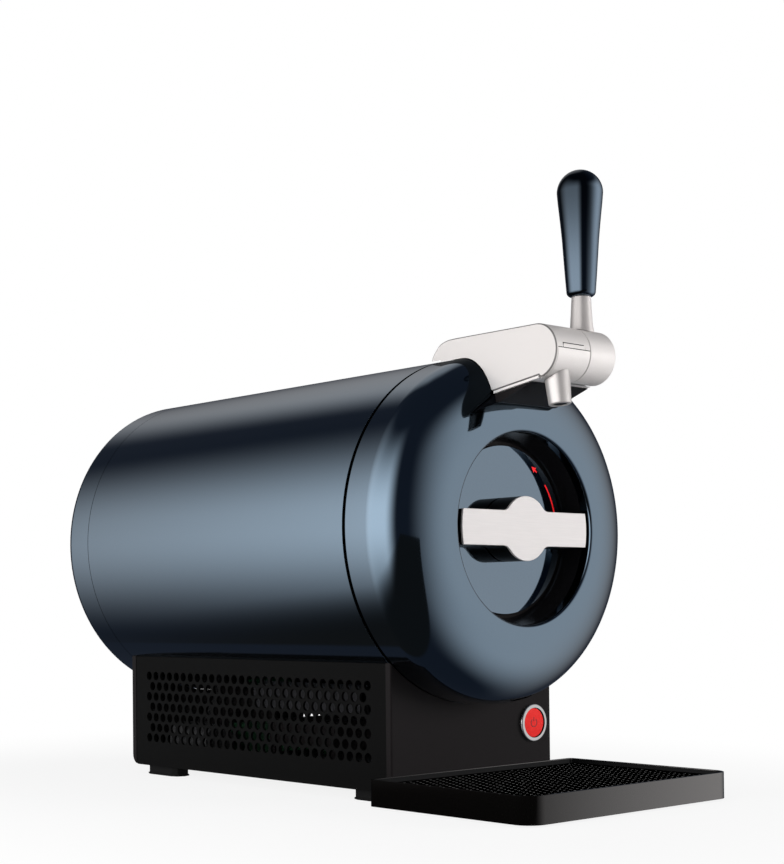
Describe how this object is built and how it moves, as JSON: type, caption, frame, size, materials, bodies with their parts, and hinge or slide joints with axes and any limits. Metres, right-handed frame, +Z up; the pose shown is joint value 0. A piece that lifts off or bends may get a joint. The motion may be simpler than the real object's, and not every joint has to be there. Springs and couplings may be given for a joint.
{
  "type": "mini keg beer dispenser",
  "caption": "Tabletop beer dispenser: blue barrel cooler on a black vented base, with a hinged round door, turning latch bar, silver tap, tipping handle and drip tray.",
  "frame": {"origin": "on the table under the middle of the whole machine, tray included", "axes": "+X right as seen from the front, +Y from the tap to the back, +Z up"},
  "size_m": [0.25, 0.5054, 0.4405],
  "materials": {
    "blue_paint": "metallic steel-blue gloss paint",
    "blue_gloss": "deep blue mirror gloss",
    "satin_silver": "warm satin silver paint",
    "brushed_plate": "light brushed",
    "black_satin": "black satin",
    "black_rubber": "matt",
    "white_foam": "open foam skin",
    "pale_plastic": "fine satin",
    "aluminium": "drawn and milled",
    "steel": "plain",
    "board_green": "lacquered board",
    "red_anodised": "spun red anodised"
  },
  "bodies": {
    "machine": {"barrel_shell": "blue_paint", "rear_cap": "blue_paint", "front_frame": "black_satin", "rear_joint_ring": "black_satin", "rear_bulkhead": "black_satin", "fan_frame": "black_satin", "base_front": "black_satin", "base_rear": "black_satin", "base_floor": "black_satin", "base_left_grille": "black_satin", "base_right_grille": "black_satin", "power_inlet": "black_satin", "foot_left_front": "black_rubber", "foot_left_rear": "black_rubber", "foot_right_front": "black_rubber", "foot_right_rear": "black_rubber", "insulation_foam": "white_foam", "air_coupling": "pale_plastic", "cooling_module": "pale_plastic", "air_hose": "pale_plastic", "button_switch": "pale_plastic", "chamber_liner": "aluminium", "cold_block": "aluminium", "heat_sink": "aluminium", "air_pump": "steel", "button_ring": "steel", "hinge_bracket": "steel", "hinge_pin": "steel", "power_board": "board_green", "control_board": "board_green"},
    "door": {"door_shell": "blue_paint", "recess_wall": "black_satin", "door_disc": "blue_gloss", "door_core": "black_satin", "door_foam": "white_foam", "door_liner": "pale_plastic", "door_gasket": "black_rubber", "door_screw_1": "steel", "door_screw_2": "steel", "door_screw_3": "steel", "door_screw_4": "steel", "tube_grommet": "black_rubber", "hinge_leaf": "steel", "tap_body": "satin_silver", "tap_wedge": "black_satin", "tap_nozzle": "satin_silver", "tap_cover_pin": "steel"},
    "knob": {"knob_plate": "brushed_plate", "knob_body": "black_satin", "knob_shaft": "steel"},
    "latch": {"latch_bolt": "steel"},
    "lever": {"lever_drum": "satin_silver", "lever_axle": "satin_silver", "lever_stem": "satin_silver", "lever_handle": "blue_gloss"},
    "cover": {"tap_cover": "satin_silver"},
    "button": {"power_button": "red_anodised"},
    "tray": {"drip_tray": "black_satin"},
    "grid": {"drip_grid": "black_satin"},
    "fan": {"fan_impeller": "black_satin"}
  },
  "joints": [
    {"name": "door_swing", "type": "hinge", "parent": "machine", "child": "door", "pos_m": [0.1195, -0.1133, 0.1917], "axis": [0, 0, 1], "range_deg": [0, 100]},
    {"name": "knob_turn", "type": "hinge", "parent": "door", "child": "knob", "pos_m": [0, -0.1356, 0.1917], "axis": [0, -1, 0], "range_deg": [0, 60]},
    {"name": "bolt_slide", "type": "slide", "parent": "door", "child": "latch", "axis": [1, 0, 0], "range_m": [0, 0.0062]},
    {"name": "lever_tip", "type": "hinge", "parent": "door", "child": "lever", "pos_m": [0, -0.1953, 0.3095], "axis": [1, 0, 0], "range_deg": [0, 50]},
    {"name": "cover_lift", "type": "hinge", "parent": "door", "child": "cover", "pos_m": [0, -0.0985, 0.318], "axis": [-1, 0, 0], "range_deg": [0, 50]},
    {"name": "button_press", "type": "slide", "parent": "machine", "child": "button", "axis": [0, 1, 0], "range_m": [0, 0.002], "stiffness_N_per_m": 400},
    {"name": "tray_slide", "type": "slide", "parent": "machine", "child": "tray", "axis": [0, -1, 0], "range_m": [0, 0.16]},
    {"name": "grid_lift", "type": "slide", "parent": "tray", "child": "grid", "axis": [0, 0, 1], "range_m": [0, 0.04]},
    {"name": "fan_spin", "type": "hinge", "parent": "machine", "child": "fan", "pos_m": [0, 0.0467, 0.0405], "axis": [0, 0, 1], "continuous": true}
  ],
  "couplings": [
    {"joint": "bolt_slide", "follows": "knob_turn", "m_per_rad": 0.00573}
  ]
}
